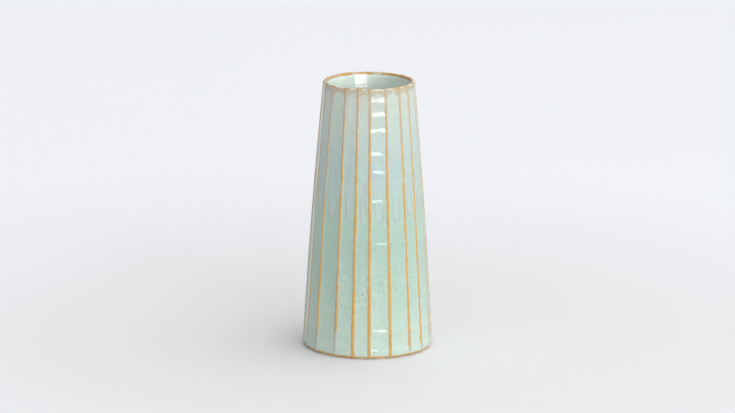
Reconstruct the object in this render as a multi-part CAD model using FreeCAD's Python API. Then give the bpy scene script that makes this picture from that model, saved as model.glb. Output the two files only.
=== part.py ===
import FreeCAD, Part
import math
import os

# A tapered stoneware vase: a fluted wall on a flat floor and a turned foot ring,
# under a mint glaze, with an ochre rib on every arris between two flutes and a
# milky second dip that runs down each flute as a tongue.
#
# Millimetres and degrees. The origin is the centre of the foot, +Z is up, and an
# azimuth of 0 looks out along -Y and grows towards +X.

# Driving dimensions.
HEIGHT = 200.0              # foot to the top of the lip
BASE_RADIUS = 48.4          # over the rib crests, where the side would meet the table
LIP_RADIUS = 33.8           # over the glaze, at the lip
BELLY = 1.0                 # how far the side bows out from a straight line
LIP_WALL = 3.6              # whole thickness of the lip, glaze included
BASE_WALL = 7.0             # clay thickness at the foot of the wall
FLOOR_THICKNESS = 7.0
COVE_RADIUS = 8.0           # the throwing curve between floor and wall, inside
FOOT_HEIGHT = 3.0           # the foot ring, and so the recess under the floor
FOOT_WIDTH = 9.0
FOOT_ROUNDING = 0.9
LIP_HEIGHT = 3.5            # the part of the wall above the flutes

# Flutes and ribs. The flutes were cut by eye, so no two are quite the same width.
FLUTE_SPACINGS = [17.5, 22.5, 17, 14.5, 19.5, 20, 16, 18.5, 17.5, 18.5,
                  16.5, 19, 18, 17, 18.5, 17.5, 19, 16.5, 18, 18.5]
FIRST_RIB_AZIMUTH = -70.0
FLUTE_HOLLOW = 0.3          # how far a flute is hollowed below a flat facet
RIB_RISE = 0.5              # crest of a rib above the glaze beside it
RIB_WIDTH_BOTTOM = 2.8
RIB_WIDTH_TOP = 2.0

# Glaze.
OUTER_COAT = 0.8
LINER_COAT = 0.5
DIP_COAT = 0.25             # the second dip, on top of the first coat
DIP_GAP = 0.4               # bare strip of the first coat beside each rib
FOOT_LINE_BOTTOM = 0.8      # the foot is wiped clean below this
TONGUE_LENGTH = 34.0        # from where the dip narrows to the tip
TONGUE_SHARE = 0.55         # width of a tongue as a share of its flute

# Heights that the tongues have run down to, flute by flute.
TONGUE_TIPS = [104, 103, 101.5, 101, 100.5, 100.5, 104, 103.5, 101, 102.5,
               104, 101.5, 100, 102, 103.5, 101, 102.5, 104, 101.5, 102.5]

WALL_SPANS = 6              # straight spans that follow the bow of the side
TONGUE_ROUND_STEPS = 4      # sections that round the tip of a tongue

# Worked out from those.
FLUTE_BOTTOM = FOOT_HEIGHT
FLUTE_TOP = HEIGHT - LIP_HEIGHT
FLOOR_TOP = FOOT_HEIGHT + FLOOR_THICKNESS
FLUTE_COUNT = len(FLUTE_SPACINGS)
RIB_AZIMUTHS = [FIRST_RIB_AZIMUTH + sum(FLUTE_SPACINGS[:k]) for k in range(FLUTE_COUNT)]
UP = FreeCAD.Vector(0, 0, 1)
ORIGIN = FreeCAD.Vector(0, 0, 0)


def crest_radius(height):
    """Radius over the rib crests at a height."""
    share = height / HEIGHT
    return BASE_RADIUS + (LIP_RADIUS - BASE_RADIUS) * share + 4 * BELLY * share * (1 - share)


def clay_arris_radius(height):
    """Radius of the bare clay under a rib."""
    return crest_radius(height) - RIB_RISE - OUTER_COAT


def rib_half_angle(height):
    """Half the angle that a rib covers, seen from the axis."""
    share = height / HEIGHT
    width = RIB_WIDTH_BOTTOM + (RIB_WIDTH_TOP - RIB_WIDTH_BOTTOM) * share
    return math.degrees(width / 2 / crest_radius(height))


LINER_TOP_RADIUS = LIP_RADIUS - LIP_WALL
CLAY_TOP_INNER_RADIUS = LINER_TOP_RADIUS + LINER_COAT
CLAY_FLOOR_INNER_RADIUS = clay_arris_radius(FLOOR_TOP) - BASE_WALL
INNER_TAPER = (CLAY_FLOOR_INNER_RADIUS - CLAY_TOP_INNER_RADIUS) / (FLUTE_TOP - FLOOR_TOP)
INNER_SLANT = math.hypot(1, INNER_TAPER)
FLOOR_RADIUS = CLAY_FLOOR_INNER_RADIUS - COVE_RADIUS * (INNER_TAPER + INNER_SLANT)


def at(radius, azimuth, height):
    """A point given by its radius, azimuth and height."""
    angle = math.radians(azimuth)
    return FreeCAD.Vector(radius * math.sin(angle), -radius * math.cos(angle), height)


def flute_middle(flute):
    return RIB_AZIMUTHS[flute] + FLUTE_SPACINGS[flute] / 2


def flute_half_angle(flute, height):
    return FLUTE_SPACINGS[flute] / 2 - rib_half_angle(height)


def flute_point(flute, across, height, lift):
    """A point on a flute: across is -1 at its left rib, 0 in its middle and 1 at its
    right rib, and lift is the height above the clay."""
    half_angle = flute_half_angle(flute, height)
    edge_radius = clay_arris_radius(height)
    middle_radius = edge_radius * math.cos(math.radians(half_angle)) - FLUTE_HOLLOW
    radius = middle_radius + (edge_radius - middle_radius) * across ** 2
    return at(radius + lift, flute_middle(flute) + across * half_angle, height)


def line(start, end):
    return Part.makeLine(start, end)


def arc(start, middle, end):
    return Part.Arc(start, middle, end).toShape()


def flute_arc(flute, half_width, height, lift):
    """The hollow curve across a flute, left to right."""
    return arc(flute_point(flute, -half_width, height, lift),
               flute_point(flute, 0, height, lift),
               flute_point(flute, half_width, height, lift))


def stations(bottom, top, spans):
    return [bottom + (top - bottom) * step / spans for step in range(spans + 1)]


def loft(wires):
    """A solid with straight sides between wires that have the same number of edges."""
    return Part.makeLoft(wires, True, True)


def turned(edges):
    """The solid made by turning a closed outline in the XZ plane about the axis."""
    closed = Part.Wire(Part.__sortEdges__(edges))
    return Part.Face(closed).revolve(ORIGIN, UP, 360)


def outline(points):
    """Straight edges through (radius, height) points, as an open chain."""
    corners = [FreeCAD.Vector(radius, 0, height) for radius, height in points]
    return [line(start, end) for start, end in zip(corners, corners[1:])]


def clay_section(height):
    """Outline of the clay: a hollow curve for each flute, a flat under each rib."""
    edges = []
    for flute in range(FLUTE_COUNT):
        following = (flute + 1) % FLUTE_COUNT
        edges.append(flute_arc(flute, 1, height, 0))
        edges.append(line(flute_point(flute, 1, height, 0), flute_point(following, -1, height, 0)))
    return Part.Wire(edges)


def inner_radius(height, cover):
    """Radius of the straight part of the inside, under a cover of glaze."""
    drop = height - FLOOR_TOP
    return CLAY_FLOOR_INNER_RADIUS - INNER_TAPER * drop - cover * INNER_SLANT


def inside_edges(top, cover):
    """The inside from the floor to a height: the cove, then the straight taper."""
    radius = COVE_RADIUS - cover
    centre_radius = FLOOR_RADIUS
    centre_height = FLOOR_TOP + COVE_RADIUS
    lean = math.atan(INNER_TAPER)
    halfway = (lean - math.pi / 2) / 2
    start = FreeCAD.Vector(centre_radius, 0, centre_height - radius)
    middle = FreeCAD.Vector(centre_radius + radius * math.cos(halfway), 0,
                            centre_height + radius * math.sin(halfway))
    end = FreeCAD.Vector(centre_radius + radius * math.cos(lean), 0,
                         centre_height + radius * math.sin(lean))
    top_corner = FreeCAD.Vector(inner_radius(top, cover), 0, top)
    return [arc(start, middle, end), line(end, top_corner)]


def cavity(top):
    """Everything inside the clay, floor disc included, up to a height."""
    floor_corner = (FLOOR_RADIUS, FLOOR_TOP)
    start = outline([(0, 0), (FLOOR_RADIUS, 0), floor_corner])
    close = outline([(inner_radius(top, 0), top), (0, top), (0, 0)])
    return turned(start + inside_edges(top, 0) + close)


def lip_ring(outer_radius, inner_radius_here):
    """The upright ring above the flutes, with a half-round top."""
    half_width = (outer_radius - inner_radius_here) / 2
    middle_radius = (outer_radius + inner_radius_here) / 2
    spring = HEIGHT - LIP_WALL / 2
    crown = arc(FreeCAD.Vector(outer_radius, 0, spring),
                FreeCAD.Vector(middle_radius, 0, spring + half_width),
                FreeCAD.Vector(inner_radius_here, 0, spring))
    side = outline([(outer_radius, FLUTE_TOP), (outer_radius, spring)])
    back = outline([(inner_radius_here, spring), (inner_radius_here, FLUTE_TOP),
                    (outer_radius, FLUTE_TOP)])
    return turned(side + [crown] + back)


def clay_lip():
    return lip_ring(LIP_RADIUS - OUTER_COAT, CLAY_TOP_INNER_RADIUS)


def stoneware_wall():
    """The thrown wall with its cut flutes, its inner cove and its lip."""
    sections = [clay_section(height) for height in stations(FLUTE_BOTTOM, FLUTE_TOP, WALL_SPANS)]
    fluted = loft(sections).cut(cavity(HEIGHT))
    return fluted.fuse(clay_lip())


def stoneware_floor():
    return Part.makeCylinder(FLOOR_RADIUS, FLOOR_THICKNESS, FreeCAD.Vector(0, 0, FOOT_HEIGHT))


def foot_ring():
    """The bare ring that the vase stands on, with a rounded outer corner."""
    outer = clay_arris_radius(FOOT_HEIGHT)
    inner = outer - FOOT_WIDTH
    turn = FOOT_ROUNDING * (1 - math.sqrt(0.5))
    corner = arc(FreeCAD.Vector(outer - FOOT_ROUNDING, 0, 0),
                 FreeCAD.Vector(outer - turn, 0, turn),
                 FreeCAD.Vector(outer, 0, FOOT_ROUNDING))
    bottom = outline([(inner, 0), (outer - FOOT_ROUNDING, 0)])
    rest = outline([(outer, FOOT_ROUNDING), (outer, FOOT_HEIGHT), (inner, FOOT_HEIGHT), (inner, 0)])
    return turned(bottom + [corner] + rest)


def liner_glaze():
    """The glaze poured inside: one skin over the floor, the cove and the wall."""
    floor = outline([(0, FLOOR_TOP), (FLOOR_RADIUS, FLOOR_TOP)])
    top = outline([(inner_radius(FLUTE_TOP, 0), FLUTE_TOP),
                   (inner_radius(FLUTE_TOP, LINER_COAT), FLUTE_TOP)])
    face = outline([(FLOOR_RADIUS, FLOOR_TOP + LINER_COAT), (0, FLOOR_TOP + LINER_COAT), (0, FLOOR_TOP)])
    return turned(floor + inside_edges(FLUTE_TOP, 0) + top + inside_edges(FLUTE_TOP, LINER_COAT) + face)


def rim_band():
    """The ochre band over the lip: its outside, its crown and its inside."""
    return lip_ring(LIP_RADIUS, LINER_TOP_RADIUS).cut(clay_lip())


def foot_line():
    """The ochre line where the glaze ends, just above the table."""
    inner = clay_arris_radius(FOOT_HEIGHT)
    outer = crest_radius(FOOT_HEIGHT)
    bevel = (outer - inner) / 2
    return turned(outline([(inner, FOOT_LINE_BOTTOM), (inner + bevel, FOOT_LINE_BOTTOM),
                           (outer, FOOT_LINE_BOTTOM + bevel), (outer, FOOT_HEIGHT),
                           (inner, FOOT_HEIGHT), (inner, FOOT_LINE_BOTTOM)]))


def skin_section(flute, half_width, height, low, high):
    """Closed outline of a glaze skin on a flute, between two lifts above the clay."""
    inner = flute_arc(flute, half_width, height, low)
    outer = flute_arc(flute, half_width, height, high)
    left = line(flute_point(flute, -half_width, height, high), flute_point(flute, -half_width, height, low))
    right = line(flute_point(flute, half_width, height, low), flute_point(flute, half_width, height, high))
    return Part.Wire([inner, right, outer, left])


def mint_panel(flute):
    """The first glaze coat in one flute, from the foot line to the lip."""
    return loft([skin_section(flute, 1, height, 0, OUTER_COAT)
                 for height in stations(FLUTE_BOTTOM, FLUTE_TOP, WALL_SPANS)])


def rib_section(rib, height):
    left_flute = (rib - 1) % FLUTE_COUNT
    foot_left = flute_point(left_flute, 1, height, 0)
    foot_right = flute_point(rib, -1, height, 0)
    shoulder_left = flute_point(left_flute, 1, height, OUTER_COAT)
    shoulder_right = flute_point(rib, -1, height, OUTER_COAT)
    crest = at(crest_radius(height), RIB_AZIMUTHS[rib], height)
    return Part.Wire([line(foot_left, foot_right), line(foot_right, shoulder_right),
                      arc(shoulder_right, crest, shoulder_left), line(shoulder_left, foot_left)])


def ochre_rib(rib):
    """The rounded ridge of ochre glaze on one arris."""
    return loft([rib_section(rib, height) for height in stations(FLUTE_BOTTOM, FLUTE_TOP, WALL_SPANS)])


def dip_half_width(flute, height):
    """Half-width of the dip as a share of the flute: full above, then a tongue with
    a half-round tip."""
    flute_half_width = math.radians(flute_half_angle(flute, height)) * crest_radius(height)
    full = 1 - DIP_GAP / flute_half_width
    above_tip = height - TONGUE_TIPS[flute]
    narrowing = min(1, above_tip / TONGUE_LENGTH)
    share = TONGUE_SHARE + (full - TONGUE_SHARE) * narrowing ** 2
    round_height = TONGUE_SHARE * flute_half_width
    if above_tip < round_height:
        share *= math.sqrt(1 - (1 - above_tip / round_height) ** 2)
    return share


def dip_stations(flute):
    """Heights of the sections of one flute's dip, closest together at the tip."""
    tip = TONGUE_TIPS[flute]
    half_width = math.radians(flute_half_angle(flute, tip)) * crest_radius(tip)
    round_top = tip + TONGUE_SHARE * half_width
    rounding = [round_top - (round_top - tip) * math.cos(step / TONGUE_ROUND_STEPS * math.pi / 2)
                for step in range(1, TONGUE_ROUND_STEPS)]
    narrowing = stations(round_top, tip + TONGUE_LENGTH, 3)
    above = stations(tip + TONGUE_LENGTH, FLUTE_TOP, 3)
    return rounding + narrowing + above[1:]


def milky_dip():
    """The second dip, a thin skin in every flute of the upper half, with its tongue."""
    skins = []
    for flute in range(FLUTE_COUNT):
        sections = [skin_section(flute, dip_half_width(flute, height), height,
                                 OUTER_COAT, OUTER_COAT + DIP_COAT)
                    for height in dip_stations(flute)]
        skins.append(loft(sections))
    return Part.makeCompound(skins)


def export(name, shape):
    bounds = shape.optimalBoundingBox()
    print(f"{name:18s} solids {len(shape.Solids):2d}  valid {shape.isValid()}  volume {shape.Volume:9.1f}"
          f"  z {bounds.ZMin:6.1f} to {bounds.ZMax:6.1f}  x {bounds.XMin:6.1f} to {bounds.XMax:6.1f}")
    shape.exportStep(f"parts/{name}.step")


def main():
    os.makedirs("parts", exist_ok=True)
    export("stoneware_wall", stoneware_wall())
    export("stoneware_floor", stoneware_floor())
    export("foot_ring", foot_ring())
    export("liner_glaze", liner_glaze())
    export("rim_band", rim_band())
    export("foot_line", foot_line())
    export("milky_dip", milky_dip())
    for number in range(FLUTE_COUNT):
        export(f"mint_panel_{number + 1:02d}", mint_panel(number))
        export(f"ochre_rib_{number + 1:02d}", ochre_rib(number))


main()
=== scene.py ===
import math
from typing import NamedTuple

import bpy
import numpy as np
from mathutils import Matrix, Vector


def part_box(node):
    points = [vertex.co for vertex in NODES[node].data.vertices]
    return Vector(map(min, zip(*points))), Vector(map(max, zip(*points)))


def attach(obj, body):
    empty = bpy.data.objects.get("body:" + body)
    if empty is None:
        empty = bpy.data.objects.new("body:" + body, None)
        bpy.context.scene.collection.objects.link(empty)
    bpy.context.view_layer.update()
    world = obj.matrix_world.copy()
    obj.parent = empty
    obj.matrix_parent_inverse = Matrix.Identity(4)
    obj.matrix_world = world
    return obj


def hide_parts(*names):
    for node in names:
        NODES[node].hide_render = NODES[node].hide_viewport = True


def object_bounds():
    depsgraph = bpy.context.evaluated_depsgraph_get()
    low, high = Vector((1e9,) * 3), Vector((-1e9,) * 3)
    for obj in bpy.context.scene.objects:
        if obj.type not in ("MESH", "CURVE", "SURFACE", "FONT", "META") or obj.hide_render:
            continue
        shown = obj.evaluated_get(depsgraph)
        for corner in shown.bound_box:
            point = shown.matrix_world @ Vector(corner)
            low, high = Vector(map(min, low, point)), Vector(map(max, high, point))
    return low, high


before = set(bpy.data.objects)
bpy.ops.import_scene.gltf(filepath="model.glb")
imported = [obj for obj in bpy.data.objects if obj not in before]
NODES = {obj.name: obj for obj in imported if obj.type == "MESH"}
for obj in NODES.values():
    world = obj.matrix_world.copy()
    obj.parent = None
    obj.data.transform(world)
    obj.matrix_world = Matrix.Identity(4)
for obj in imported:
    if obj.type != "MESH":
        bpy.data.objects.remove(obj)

# The looks of a fluted stoneware vase. Every glaze piece on the side is a closed shell, and
# their outer faces are one surface with hollow flutes, throwing rings and raised ribs. Lengths
# are in metres, and an azimuth is 0 towards -Y and grows towards +X.

MM = 0.001
TURN = 2 * math.pi
CAD_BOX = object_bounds()
RIB_NAMES = sorted(name for name in NODES if name.startswith("ochre_rib_"))
PANEL_NAMES = sorted(name for name in NODES if name.startswith("mint_panel_"))
FLUTES = len(RIB_NAMES)

# Relief of the glazed side.
RIB_RISE = 0.50 * MM  # crest of a rib above the edge of the flute beside it
RIB_RISE_FADED = 0.85  # share of that rise where the flutes have faded out
RIB_SHARPNESS = 1.5  # a higher power gives the ridge a narrower crest
RIB_HALF_WIDTH = (1.24 * MM, 0.82 * MM)  # at the foot and at the lip
RIB_SPREAD = 1.3  # the raised ridge is this much wider than its colour
RIB_MARGIN = 0.45 * MM  # strip of mint on each side that belongs to the rib's piece
FLUTE_HOLLOW = 0.30 * MM
FLUTE_FADE_TOP = (16 * MM, 3 * MM)  # below the lip, where the flutes start and stop fading
FLUTE_DEPTH_TOP = 0.35  # share of their depth that is left there
FLUTE_FADE_FOOT = 14 * MM
FLUTE_DEPTH_FOOT = 0.55
FLUTE_EDGE_POWER = 8  # keeps bulges in the flutes off their last bit beside the ribs
ARRIS_SLOPE = 0.22
ARRIS_ROUNDING = 0.5 * MM
BOX_MARGIN = 0.02 * MM  # the glaze stays this far inside the CAD surface
GLAZE_DEPTH = 0.6 * MM  # how deep a glaze shell reaches below its surface
DIP_THICKNESS = 0.12 * MM
DIP_EDGE = 0.02 * MM  # how far the thin edge of the dip stands above the first coat
DIP_SUNK = 0.12 * MM  # how deep the dip's back lies in the first coat

# Unevenness of the side: noise seed, amount, cells round the vase and height of a cell. With
# far more cells than ribs, no two ribs are alike.
RIB_CELLS = 97
RIB_WANDER = [(11, 0.22 * MM, RIB_CELLS, 11 * MM), (12, 0.15 * MM, RIB_CELLS, 3.5 * MM)]
RIB_SWELL = [(21, 0.14, RIB_CELLS, 14 * MM), (22, 0.22, RIB_CELLS, 4 * MM)]
STRENGTH_WAVES = [(25, 0.34, RIB_CELLS, 21 * MM)]
SLOW_WAVES = [(31, 0.10 * MM, 26, 19 * MM)]
QUICK_WAVES = [(32, 0.03 * MM, 90, 4.5 * MM)]

# How strongly each rib shows its ochre, from the first rib round the vase. Where the glaze is
# thick the rib is only a pale line.
RIB_STRENGTHS = [0.48, 0.60, 0.66, 0.85, 0.8, 1.0, 1.0, 0.9, 0.3, 0.6,
                 0.75, 0.9, 1.0, 0.7, 0.95, 1.0, 0.85, 0.9, 0.6, 0.55]
MEAN_STRENGTH = 0.96  # share of that strength in the middle of its waves
# Height in millimetres below which the ochre of a rib has drained away, where it has.
DRAINED_FEET = {0: 6, 1: 5, 2: 14, 6: 4, 7: 2, 11: 6, 14: 3, 17: 9}
DRAINED_FADE = 11  # millimetres over which it comes back
DRAINED_STRENGTH = 0.2

# Throwing rings: height, rise and half-height of each bulge round the wall, in millimetres.
THROWING_RINGS = [(3.6, 0.62, 3.2), (18.2, 0.36, 2.5), (84, 0.21, 2.2), (97, 0.12, 6.0),
                  (117, 0.27, 2.2), (137, 0.25, 2.3), (150, 0.27, 2.2), (167, 0.31, 2.4),
                  (179.8, 0.27, 2.1), (189.6, 0.40, 3.0)]
RING_LIFT_SEED = 40  # each ring adds its number to the two seeds
RING_LIFT = 1.3  # how far a ring rises and falls round the vase, in millimetres
RING_LIFT_CELLS = 9
RING_STRENGTH_SEED = 60
RING_STRENGTH = (0.90, 0.45)  # on average, and how far it goes up and down
RING_STRENGTH_CELLS = 37

# The inside.
LINER_COAT = 0.5 * MM
COVE_RADIUS = 8 * MM  # the curve between floor and wall
COVE_END = math.radians(3)  # where the curve meets the taper of the wall
RING_PITCH = 7.5 * MM  # climb of the throwing spiral
RING_RISE = 0.14 * MM
SPIRAL_START = (20 * MM, 30 * MM)  # heights between which the spiral grows
SPIRAL_END = (12 * MM, 4 * MM)  # below the lip, where it fades
FLARE_HEIGHT = 8.5 * MM  # below the lip the inside flares out, from a soft swelling
FLARE_SLOPE = 0.25
SWELLING_HEIGHT = 18 * MM
LINER_SKIN = 0.9  # depth of the liner's skin as a share of its coat

# Mesh fineness.
SHARP_ANGLE = math.radians(48)  # edges with a sharper turn than this are not smoothed
SIDE_ROWS = 300
PANEL_COLUMNS = 24
RIB_COLUMNS = 11
BACK_COLUMNS = 5
RING_COLUMNS = 480
FLOOR_HOLE = 0.5 * MM  # the floor's innermost ring, closed by one flat face
FLOOR_RINGS = 24
COVE_RINGS = 12
LINER_RINGS = 150
LINER_COLUMN_STEP = 2  # the liner has every second column of the rim


def mix(low, high, share):
    return low + (high - low) * share


def smooth(share):
    """From 0 to 1 with flat ends, for a share that may go past either end."""
    share = np.clip(share, 0, 1)
    return share * share * (3 - 2 * share)


# What the frame says.

HEIGHT_DIGITS = 5  # points whose heights agree to this many digits are one level


def corners(node):
    """The points of a CAD node, one row each."""
    mesh = NODES[node].data
    points = np.empty(3 * len(mesh.vertices))
    mesh.vertices.foreach_get("co", points)
    return points.reshape(-1, 3)


def azimuth_of(x, y):
    return np.arctan2(x, -y)


def radius_levels(node):
    """The heights at which a node has points, and its largest radius at each."""
    points = corners(node)
    heights = np.round(points[:, 2], HEIGHT_DIGITS)
    levels = np.unique(heights)
    radii = [np.hypot(points[heights == level, 0], points[heights == level, 1]).max()
             for level in levels]
    return levels, radii


def rib_azimuths():
    """Azimuth of each rib, growing from the first one round the vase."""
    middles = [corners(name).mean(axis=0) for name in RIB_NAMES]
    angles = np.array([azimuth_of(x, y) for x, y, height in middles])
    return angles[0] + (angles - angles[0]) % TURN


HEIGHT = CAD_BOX[1].z
FLUTE_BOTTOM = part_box(PANEL_NAMES[0])[0].z
FLUTE_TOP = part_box(PANEL_NAMES[0])[1].z
LIP_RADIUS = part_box("rim_band")[1].x
LIP_INNER_RADIUS = np.hypot(corners("rim_band")[:, 0], corners("rim_band")[:, 1]).min()
FOOT_LINE_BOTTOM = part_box("foot_line")[0].z
FLOOR_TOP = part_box("liner_glaze")[0].z
CREST_CURVE = np.polyfit(*radius_levels(RIB_NAMES[0]), 2)  # the side bows as a parabola
RIB_AZIMUTHS = rib_azimuths()
FLUTE_ANGLES = np.diff(np.append(RIB_AZIMUTHS, RIB_AZIMUTHS[0] + TURN))


# The glazed surface.

def noise(seed, azimuth, height, cells_round, cell_height):
    """Smooth noise between -1 and 1 over the side of the vase, the same on each run."""
    rows = int(HEIGHT / cell_height) + 2
    table = np.random.default_rng(seed).uniform(-1, 1, (rows + 1, cells_round))
    across = np.asarray(azimuth) / TURN * cells_round
    along = np.asarray(height) / cell_height
    column = np.floor(across).astype(int)
    row = np.floor(along).astype(int)
    over = smooth(across - column)
    up = smooth(along - row)
    lower = mix(table[row, column % cells_round], table[row, (column + 1) % cells_round], over)
    upper = mix(table[row + 1, column % cells_round], table[row + 1, (column + 1) % cells_round], over)
    return mix(lower, upper, up)


def unevenness(waves, azimuth, height):
    """The sum of several waves of noise."""
    total = 0
    for seed, amount, cells_round, cell_height in waves:
        total = total + amount * noise(seed, azimuth, height, cells_round, cell_height)
    return total


def crest_radius(height):
    """Radius of the CAD surface over the crests of the ribs."""
    return np.polyval(CREST_CURVE, height)


def rib_centre(rib, height):
    """Azimuth of the rib's middle, which wanders a little."""
    wander = unevenness(RIB_WANDER, RIB_AZIMUTHS[rib], height)
    return RIB_AZIMUTHS[rib] + wander / crest_radius(height)


def rib_half_width(rib, height):
    """Half-width of the ochre, which swells and narrows along the rib."""
    width = mix(*RIB_HALF_WIDTH, height / HEIGHT)
    return width * (1 + unevenness(RIB_SWELL, RIB_AZIMUTHS[rib], height))


def flute_of(azimuth):
    """Number of the flute at an azimuth."""
    turn = (azimuth - RIB_AZIMUTHS[0]) % TURN
    return np.searchsorted(RIB_AZIMUTHS - RIB_AZIMUTHS[0], turn, side="right") - 1


def away_from(azimuth, other):
    """Unsigned angle between two azimuths."""
    return np.abs((azimuth - other + np.pi) % TURN - np.pi)


def rib_distances(azimuth, height):
    """Distance to the nearest rib's middle, and to the edge of its ochre, negative inside."""
    flute = flute_of(azimuth)
    radius = crest_radius(height)
    middles, edges = [], []
    for rib in (flute, (flute + 1) % FLUTES):
        distance = away_from(azimuth, rib_centre(rib, height)) * radius
        middles.append(distance)
        edges.append(distance - rib_half_width(rib, height))
    nearer = edges[0] < edges[1]
    return np.where(nearer, *middles), np.where(nearer, *edges)


def ochre_strength(azimuth, height):
    """Strength of the ochre on the nearest rib, between 0 and 1."""
    flute = flute_of(azimuth)
    following = (flute + 1) % FLUTES
    nearer_left = away_from(azimuth, RIB_AZIMUTHS[flute]) < away_from(azimuth, RIB_AZIMUTHS[following])
    rib = np.where(nearer_left, flute, following)
    drained = np.array([DRAINED_FEET.get(number, -DRAINED_FADE) for number in range(FLUTES)])[rib]
    foot = mix(DRAINED_STRENGTH, 1, smooth((height / MM - drained) / DRAINED_FADE))
    uneven = MEAN_STRENGTH + unevenness(STRENGTH_WAVES, RIB_AZIMUTHS[rib], height)
    return np.clip(np.array(RIB_STRENGTHS)[rib] * foot * uneven, 0, 1)


def throwing_rings(azimuth, height):
    """Bulges of the throwing rings, uneven in height and strength round the vase."""
    mean, range_of_strength = RING_STRENGTH
    rise = 0
    for number, (level, ring_rise, half_height) in enumerate(THROWING_RINGS):
        lift = RING_LIFT * noise(RING_LIFT_SEED + number, azimuth, 0, RING_LIFT_CELLS, HEIGHT)
        strength = mean + range_of_strength * noise(RING_STRENGTH_SEED + number, azimuth, 0,
                                                    RING_STRENGTH_CELLS, HEIGHT)
        offset = height / MM - level - lift
        rise = rise + ring_rise * strength * np.exp(-(offset / half_height) ** 2)
    return rise * MM


def flute_depth_share(height):
    """The flutes are cut full in the wall and fade towards the lip and the foot."""
    start, stop = FLUTE_FADE_TOP
    top = mix(1, FLUTE_DEPTH_TOP, smooth((height - HEIGHT + start) / (start - stop)))
    foot = mix(FLUTE_DEPTH_FOOT, 1, smooth(height / FLUTE_FADE_FOOT))
    return top * foot


def rib_ridge(azimuth, height):
    """Height of the raised ridge of a rib, as a share of its rise."""
    middle, edge_distance = rib_distances(azimuth, height)
    half_width = middle - edge_distance
    return np.clip(1 - (middle / (RIB_SPREAD * half_width)) ** 2, 0, 1) ** RIB_SHARPNESS


def surface_radius(azimuth, height):
    """Radius of the glazed surface: facets hollowed out between soft arrises, with throwing
    rings and waves, and a rib on each arris."""
    flute = flute_of(azimuth)
    half = FLUTE_ANGLES[flute] / 2
    from_middle = (azimuth - RIB_AZIMUTHS[flute] - half + np.pi) % TURN - np.pi
    across = from_middle / half
    depth_share = flute_depth_share(height)
    crest = crest_radius(height)
    edge = crest - RIB_RISE
    facet = edge * (1 - np.cos(half) / np.cos(from_middle))
    hollow = FLUTE_HOLLOW * (1 - across ** 2)
    radius = edge - (facet + hollow) * depth_share
    bulges = throwing_rings(azimuth, height) + unevenness(SLOW_WAVES, azimuth, height)
    radius = radius + bulges * (1 - across ** FLUTE_EDGE_POWER)
    radius = radius + unevenness(QUICK_WAVES, azimuth, height)
    from_arris = (1 - np.abs(across)) * half * crest
    rounding = from_arris - np.hypot(from_arris, ARRIS_ROUNDING)
    radius = radius + ARRIS_SLOPE * rounding * depth_share
    rise = RIB_RISE * mix(RIB_RISE_FADED, 1.0, depth_share)
    radius = radius + rise * rib_ridge(azimuth, height)
    return np.minimum(radius, crest - BOX_MARGIN)


def on_side(azimuth, height, sunk=0):
    """Points of the surface, or that much below it."""
    return turned_points(surface_radius(azimuth, height) - sunk, azimuth, height)


def turned_points(radius, azimuth, height):
    """Points as an array with x, y and z last."""
    radius, azimuth, height = np.broadcast_arrays(radius, azimuth, height)
    return np.stack([radius * np.sin(azimuth), -radius * np.cos(azimuth), height], axis=-1)


# Meshes.

def grid_faces(numbers, flip=False):
    """Quads of a grid of point numbers."""
    quads = np.stack([numbers[:-1, :-1], numbers[:-1, 1:], numbers[1:, 1:], numbers[1:, :-1]], axis=-1)
    return quads.reshape(-1, 4)[:, ::-1 if flip else 1].tolist()


def point_numbers(front, back, start=0):
    """Numbers of the points of two grids that follow one another from start."""
    back_start = start + front[..., 0].size
    end = back_start + back[..., 0].size
    return (np.arange(start, back_start).reshape(front.shape[:2]),
            np.arange(back_start, end).reshape(back.shape[:2]))


def shell_faces(front, back, start=0):
    """Faces of a closed shell between two grids that have the same rows."""
    front, back = point_numbers(front, back, start)
    bottom, top = [front[row].tolist() + back[row, ::-1].tolist() for row in (0, -1)]
    return (grid_faces(front) + grid_faces(back, flip=True)
            + grid_faces(np.stack([front[:, 0], back[:, 0]]))
            + grid_faces(np.stack([front[:, -1], back[:, -1]], axis=1))
            + [bottom[::-1], top])


def ring_faces(front, back, capped=False):
    """Faces of a closed shell between two grids that both go right round the axis. Their
    first rows are joined, or each is closed by a flat cap."""
    front, back = point_numbers(front, back)
    caps = [front[0, ::-1].tolist(), back[0].tolist()]
    front, back = [np.hstack([numbers, numbers[:, :1]]) for numbers in (front, back)]
    joined = grid_faces(np.stack([front[0], back[0]]), flip=True)
    return (grid_faces(front) + grid_faces(back, flip=True) + (caps if capped else joined)
            + grid_faces(np.stack([front[-1], back[-1]])))


def make_piece(name, points, faces, values, material, node):
    """A mesh that stands for a CAD node. values holds one number per point for each attribute."""
    mesh = bpy.data.meshes.new(name)
    mesh.from_pydata(points.tolist(), [], faces)
    for attribute, numbers in values.items():
        mesh.attributes.new(attribute, "FLOAT", "POINT").data.foreach_set("value", numbers)
    mesh.validate()
    mesh.shade_smooth()
    mesh.set_sharp_from_angle(angle=SHARP_ANGLE)
    mesh.materials.append(material)
    piece = bpy.data.objects.new(name, mesh)
    bpy.context.scene.collection.objects.link(piece)
    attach(piece, "root")
    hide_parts(node)
    return piece


def flat(*grids):
    """Several grids of points or numbers as one list of rows."""
    return np.concatenate([grid.reshape(-1, *grid.shape[2:]) for grid in grids])


SIDE_HEIGHTS = np.linspace(FLUTE_BOTTOM, FLUTE_TOP, SIDE_ROWS)


def between(left, right, columns):
    """Rows of azimuths spread evenly from a left line to a right line."""
    return left[:, None] + (right - left)[:, None] * np.linspace(0, 1, columns)[None, :]


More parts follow.
